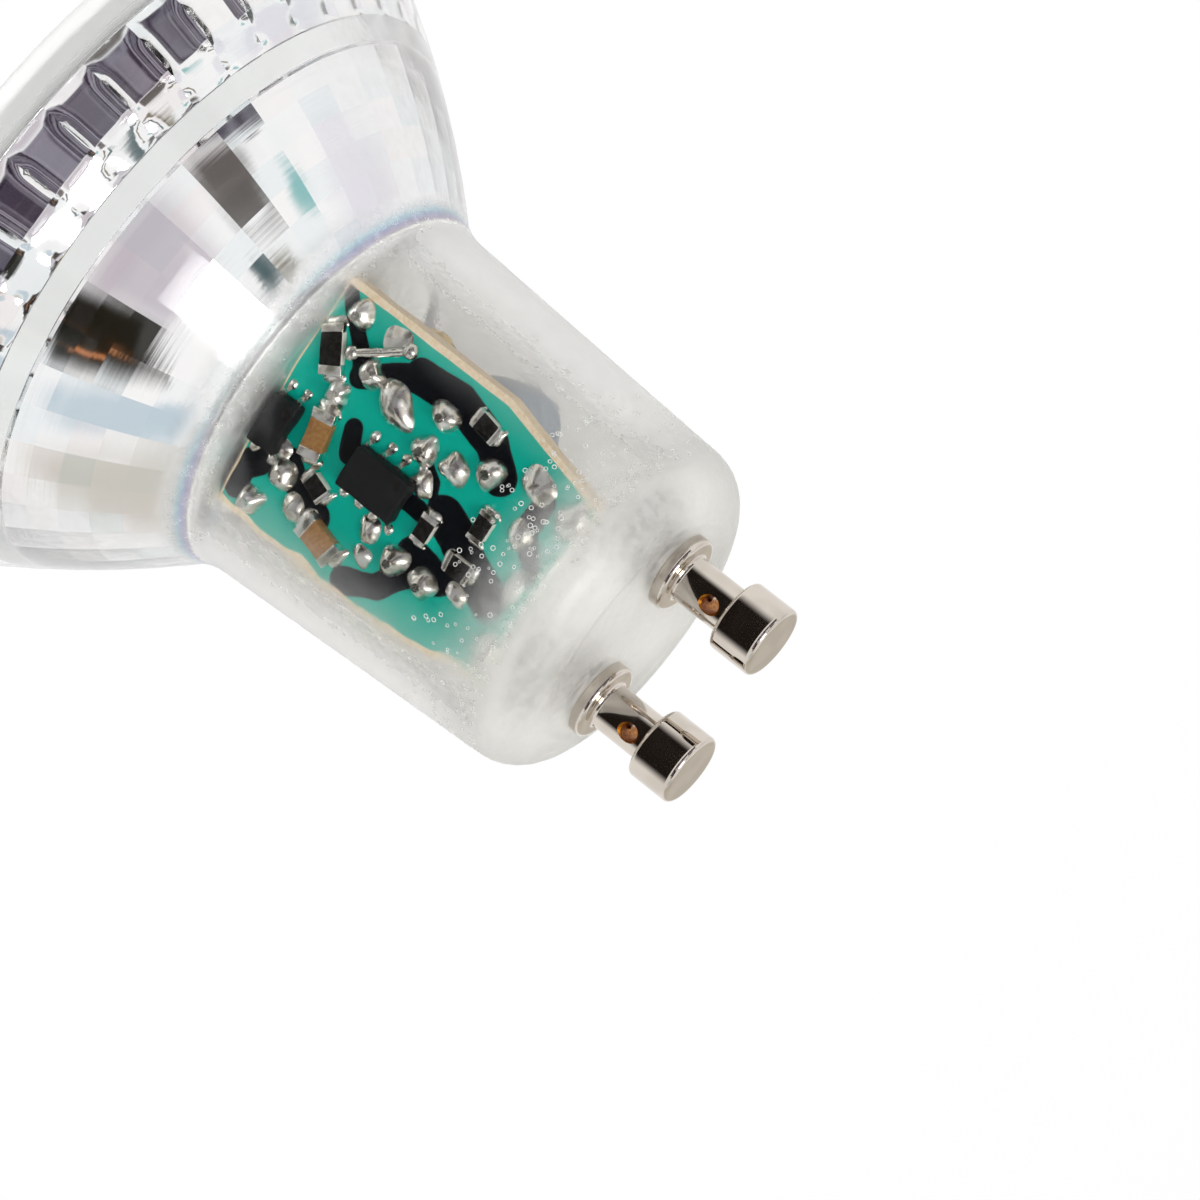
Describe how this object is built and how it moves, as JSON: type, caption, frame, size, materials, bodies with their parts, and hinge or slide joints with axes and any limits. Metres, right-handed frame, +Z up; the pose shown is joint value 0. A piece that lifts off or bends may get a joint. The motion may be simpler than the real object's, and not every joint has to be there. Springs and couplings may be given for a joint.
{
  "type": "spotlight bulb",
  "caption": "All-glass reflector spotlight bulb with a fluted mirror cup, a driver board seen through its etched neck, a clear front lens and twist-lock contact pins.",
  "frame": {"origin": "centre of the front rim, on the plane that the rim rests on", "axes": "+Z up the lamp axis from the front rim to the contact pins; X through the two pins; the driver board solder side faces -Y"},
  "size_m": [0.05, 0.05, 0.054],
  "materials": {
    "clear_glass": "clear pressed glass, lightly etched on the neck",
    "mirror_coat": "vapour-deposited aluminium",
    "lens_glass": "clear, smooth",
    "bare_aluminium": "stamped, satin",
    "white_board": "white solder mask on aluminium",
    "phosphor": "silicone with yellow phosphor",
    "green_board": "teal-green solder mask on glass laminate",
    "grey_sleeve": "shrunk sleeve",
    "black_rubber": "moulded",
    "ferrite": "sintered, dull",
    "copper": "enamelled wire",
    "yellow_box": "moulded case",
    "grey_lacquer": "lacquered",
    "tinned_wire": "tinned copper",
    "solder": "bright solder",
    "black_mould": "moulded epoxy",
    "chip_black": "glazed ceramic chip",
    "chip_brown": "sintered ceramic chip",
    "nickel_plate": "bright nickel on brass"
  },
  "bodies": {
    "root": {"glass_body": "clear_glass", "mirror_coating": "mirror_coat", "front_lens": "lens_glass", "heat_sink": "bare_aluminium", "led_board": "white_board", "led_emitters": "phosphor", "driver_board": "green_board", "electrolytic_capacitor": "grey_sleeve", "capacitor_bung": "black_rubber", "inductor_core": "ferrite", "inductor_winding": "copper", "film_capacitor": "yellow_box", "fusible_resistor": "grey_lacquer", "component_leads": "tinned_wire", "solder_joints": "solder", "bridge_rectifier": "black_mould", "driver_chip": "black_mould", "chip_resistors": "chip_black", "chip_capacitors": "chip_brown", "sense_resistor": "chip_black", "wire_link": "solder", "contact_pin_left": "nickel_plate", "contact_pin_right": "nickel_plate", "mains_lead_left": "tinned_wire", "mains_lead_right": "tinned_wire", "led_lead_left": "tinned_wire", "led_lead_right": "tinned_wire"}
  },
  "joints": []
}
